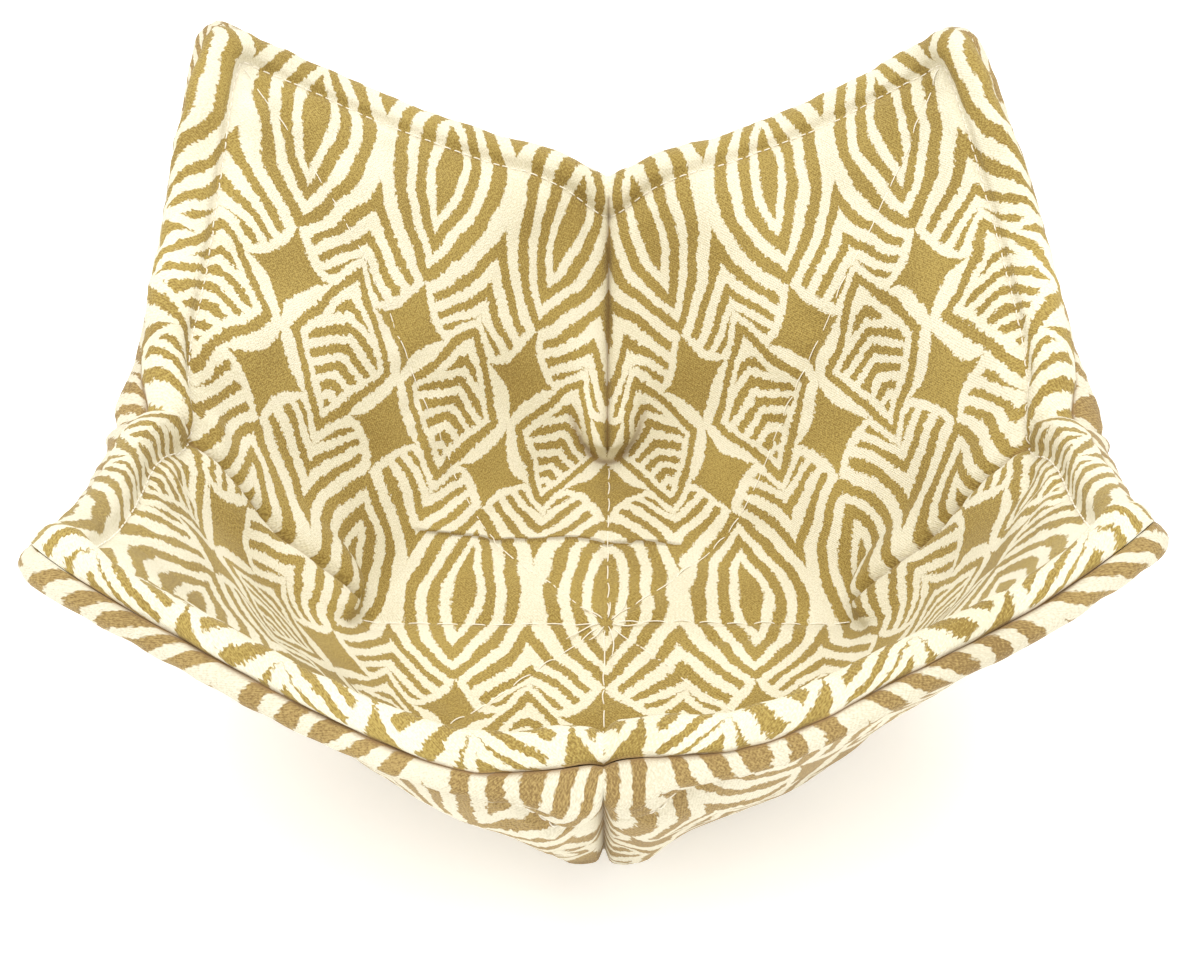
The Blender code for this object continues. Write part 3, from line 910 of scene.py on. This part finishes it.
def printed_cotton(name, shift, ground, bright, gold, gold_dark, tucked):
    """Cream canvas with a ragged khaki-gold print."""
    made = bpy.data.materials.new(name)
    made.use_nodes = True
    tree = made.node_tree
    shader = tree.nodes["Principled BSDF"]
    place = tree.nodes.new("ShaderNodeUVMap")
    place.uv_map = "flat"
    split = tree.nodes.new("ShaderNodeSeparateXYZ")
    tree.links.new(place.outputs["UV"], split.inputs[0])
    x, y = Value(tree, split.outputs["X"]), Value(tree, split.outputs["Y"])
    flat = place.outputs["UV"]

    # Threads of the weave, a little uneven
    drift = noise(tree, flat, 90.0, 1.0)
    rag_x = noise(tree, flat, 950.0, 1.5, 0.7)
    warp = ((x + drift * 0.0006 + rag_x * 0.0007) * (2 * math.pi / WEAVE_PITCH)).sin()
    weft = ((y + drift * 0.0005 - rag_x * 0.0006) * (2 * math.pi / WEAVE_PITCH)).sin()
    weave = warp * weft
    slub = noise(tree, flat, 2100.0, 2.0, 0.65)

    # The print's edges wander slowly, and are ragged from thread to thread
    slow_x = noise(tree, flat, 75.0, 1.0)
    shifted = tree.nodes.new("ShaderNodeVectorMath")
    shifted.operation = "ADD"
    shifted.inputs[1].default_value = (0.731, 0.417, 0)
    tree.links.new(flat, shifted.inputs[0])
    slow_y = noise(tree, shifted.outputs[0], 75.0, 1.0)
    rag_y = noise(tree, shifted.outputs[0], 800.0, 1.5, 0.7)
    px = x + shift[0] + (slow_x - 0.5) * 0.0034 + (rag_x - 0.5) * 0.0013 + warp * 0.00008
    py = y + shift[1] + (slow_y - 0.5) * 0.0034 + (rag_y - 0.5) * 0.0018 + weft * 0.00008
    if tucked:
        jump, tuck_shade = tuck_in_print(x, y)
        py = py - jump
    ink = ink_of(px, py, PRINT_COLUMN, PRINT_ROW)

    patch = noise(tree, flat, 38.0, 2.0)
    grain = slub * 1.15 + weave * 0.13 - 0.08
    cream = mix(tree, (patch * 0.5 + grain * 0.7).soft_step(0.39, 0.75), ground, bright)
    khaki = mix(tree, (patch * 0.4 + grain * 0.9).soft_step(0.40, 0.88), gold_dark, gold)
    colour = mix(tree, ink, cream, khaki)
    # Painted shade: brown darkening in the rim seam's crack, the dart seams, the topstitched valley and
    # round the dart's nose
    painted_shade = tree.nodes.new("ShaderNodeAttribute")
    painted_shade.attribute_name = "painted_shade"
    depth = Value(tree, painted_shade.outputs["Fac"]).soft_step(0.10, 1.0)
    colour = mix(tree, depth * (patch * 0.6 + 0.50), colour, PAINTED_SEAM_SHADE)
    # Painted shade along the lining's floor tuck
    if tucked:
        colour = mix(tree, tuck_shade * 0.5, colour, PAINTED_TUCK_SHADE)
    tree.links.new(colour, shader.inputs["Base Color"])

    height = weave * 0.45 + slub * 1.3 + ink * 0.25
    bump = tree.nodes.new("ShaderNodeBump")
    bump.inputs["Strength"].default_value = 0.55
    bump.inputs["Distance"].default_value = 0.00022
    tree.links.new(height.socket, bump.inputs["Height"])
    tree.links.new(bump.outputs["Normal"], shader.inputs["Normal"])
    rough = ink * -0.06 + 0.93
    tree.links.new(rough.socket, shader.inputs["Roughness"])
    shader.inputs["Specular IOR Level"].default_value = 0.22
    shader.inputs["Sheen Weight"].default_value = 0.12
    shader.inputs["Sheen Roughness"].default_value = 0.5
    return made


def plain_fibre(name, colour, shade, scale, bump_distance):
    """Wadding or thread: one fibre colour, mottled."""
    made = bpy.data.materials.new(name)
    made.use_nodes = True
    tree = made.node_tree
    shader = tree.nodes["Principled BSDF"]
    place = tree.nodes.new("ShaderNodeTexCoord")
    node = tree.nodes.new("ShaderNodeTexNoise")
    node.inputs["Scale"].default_value = scale
    node.inputs["Detail"].default_value = 3.0
    tree.links.new(place.outputs["Object"], node.inputs["Vector"])
    mottle = Value(tree, node.outputs["Fac"])
    tree.links.new(mix(tree, mottle.soft_step(0.3, 0.7), shade, colour), shader.inputs["Base Color"])
    bump = tree.nodes.new("ShaderNodeBump")
    bump.inputs["Strength"].default_value = 0.6
    bump.inputs["Distance"].default_value = bump_distance
    tree.links.new(mottle.socket, bump.inputs["Height"])
    tree.links.new(bump.outputs["Normal"], shader.inputs["Normal"])
    shader.inputs["Roughness"].default_value = 0.85
    shader.inputs["Sheen Weight"].default_value = 0.2
    return made


# The pieces, and how many mesh lines each has from its centre to its edge

CLOTH_LINES = 92
WADDING_LINES = 60

lining_look = printed_cotton("lining_print", (0, -0.008), GROUND, BRIGHT, GOLD, GOLD_DARK, True)
# The outer panel's cotton takes the lining's colours painted darker, as painted shade
outer_look = printed_cotton("outer_print", (0.0095, 0.030), SHADED_OUTER_GROUND, SHADED_OUTER_BRIGHT,
                            SHADED_OUTER_GOLD, SHADED_OUTER_GOLD_DARK, False)
wadding_look = plain_fibre("wadding_fibre", (0.86, 0.84, 0.78), (0.78, 0.75, 0.67), 700, 0.0002)
thread_look = plain_fibre("thread_cotton", (0.95, 0.91, 0.80), (0.84, 0.78, 0.64), 2500, 0.00005)

lining = make_cloth("lining_cloth", LINING, lining_look, CLOTH_LINES)
outer = make_cloth("outer_cloth", OUTER, outer_look, CLOTH_LINES)
lining_fill = make_wadding("lining_fill", LINING, wadding_look, WADDING_LINES)
outer_fill = make_wadding("outer_fill", OUTER, wadding_look, WADDING_LINES)
threads = [
    topstitching("topstitch_lining", LINING, thread_look),
    topstitching("topstitch_outer", OUTER, thread_look),
    quilting("quilting_lining", LINING, thread_look),
    quilting("quilting_outer", OUTER, thread_look),
]

for piece, node, slot in (
    (lining, "lining_panel", "lining_cotton"),
    (outer, "outer_panel", "outer_cotton"),
    (lining_fill, "lining_batting", "batting"),
    (outer_fill, "outer_batting", "batting"),
):
    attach(piece, "root")
    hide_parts(node)
for piece in threads:
    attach(piece, "root")


# Floor, light and camera


FLOOR_HALF_SIZE = 6.0
FLOOR_LEVEL = -0.0002

# The photograph's view: turn and height of the view, what it aims at, distance, focal length in pixels
CAMERA_YAW = math.radians(0.47)
CAMERA_ELEVATION = math.radians(39.43)
CAMERA_AIM = (-0.00149, 0.01899, 0.0300)
CAMERA_DISTANCE = 0.46542
FOCAL_PIXELS = 2085.63
PHOTO_WIDTH = 1200


def make_floor():
    """A pale floor, a little bright of its own, as a lit studio sweep is."""
    mesh = bpy.data.meshes.new("floor")
    signs = ((-1, -1), (1, -1), (1, 1), (-1, 1))
    places = [(x * FLOOR_HALF_SIZE, y * FLOOR_HALF_SIZE, FLOOR_LEVEL) for x, y in signs]
    mesh.from_pydata(places, [], [(0, 1, 2, 3)])
    look = bpy.data.materials.new("pale_floor")
    look.use_nodes = True
    shader = look.node_tree.nodes["Principled BSDF"]
    shader.inputs["Base Color"].default_value = (0.96, 0.96, 0.96, 1)
    shader.inputs["Roughness"].default_value = 0.75
    shader.inputs["Emission Color"].default_value = (1.0, 1.0, 1.0, 1)
    shader.inputs["Emission Strength"].default_value = 0.27
    mesh.materials.append(look)
    floor = bpy.data.objects.new("floor", mesh)
    bpy.context.scene.collection.objects.link(floor)


def make_light(name, place, aim, size, power, colour):
    data = bpy.data.lights.new(name, "AREA")
    data.shape = "DISK"
    data.size = size
    data.energy = power
    data.color = colour
    light = bpy.data.objects.new(name, data)
    light.location = place
    light.rotation_mode = "QUATERNION"
    light.rotation_quaternion = (Vector(aim) - Vector(place)).to_track_quat("-Z", "Y")
    bpy.context.scene.collection.objects.link(light)


def make_camera():
    """A camera at the photograph's view."""
    ahead = Vector((
        -math.sin(CAMERA_YAW) * math.cos(CAMERA_ELEVATION),
        math.cos(CAMERA_YAW) * math.cos(CAMERA_ELEVATION),
        -math.sin(CAMERA_ELEVATION),
    ))
    right = Vector((math.cos(CAMERA_YAW), math.sin(CAMERA_YAW), 0))
    up = right.cross(ahead)
    eye = Vector(CAMERA_AIM) - ahead * CAMERA_DISTANCE
    data = bpy.data.cameras.new("camera")
    data.sensor_width = 36
    data.lens = data.sensor_width * FOCAL_PIXELS / PHOTO_WIDTH
    data.clip_start, data.clip_end = 0.01, 50
    camera = bpy.data.objects.new("camera", data)
    turn = Matrix((right, up, -ahead)).transposed().to_4x4()
    camera.matrix_world = Matrix.Translation(eye) @ turn
    bpy.context.scene.collection.objects.link(camera)
    bpy.context.scene.camera = camera


make_floor()
make_light("key", (-0.08, -0.25, 1.25), (0, 0, 0.04), 1.1, 10.5, (1.0, 0.985, 0.965))
make_light("fill", (0.95, -0.45, 0.60), (0, 0, 0.04), 0.9, 3, (1.0, 0.985, 0.965))
make_light("side", (-1.0, -0.45, 0.60), (0, 0, 0.04), 0.9, 3, (1.0, 0.985, 0.96))
make_light("back", (0.3, 0.9, 0.9), (0, 0, 0.05), 0.8, 3, (1.0, 0.99, 0.97))
world = bpy.data.worlds.new("studio")
world.use_nodes = True
background = world.node_tree.nodes["Background"]
background.inputs["Color"].default_value = (1.0, 0.99, 0.975, 1)
background.inputs["Strength"].default_value = 0.80
bpy.context.scene.world = world
bpy.context.scene.view_settings.view_transform = "Standard"
make_camera()
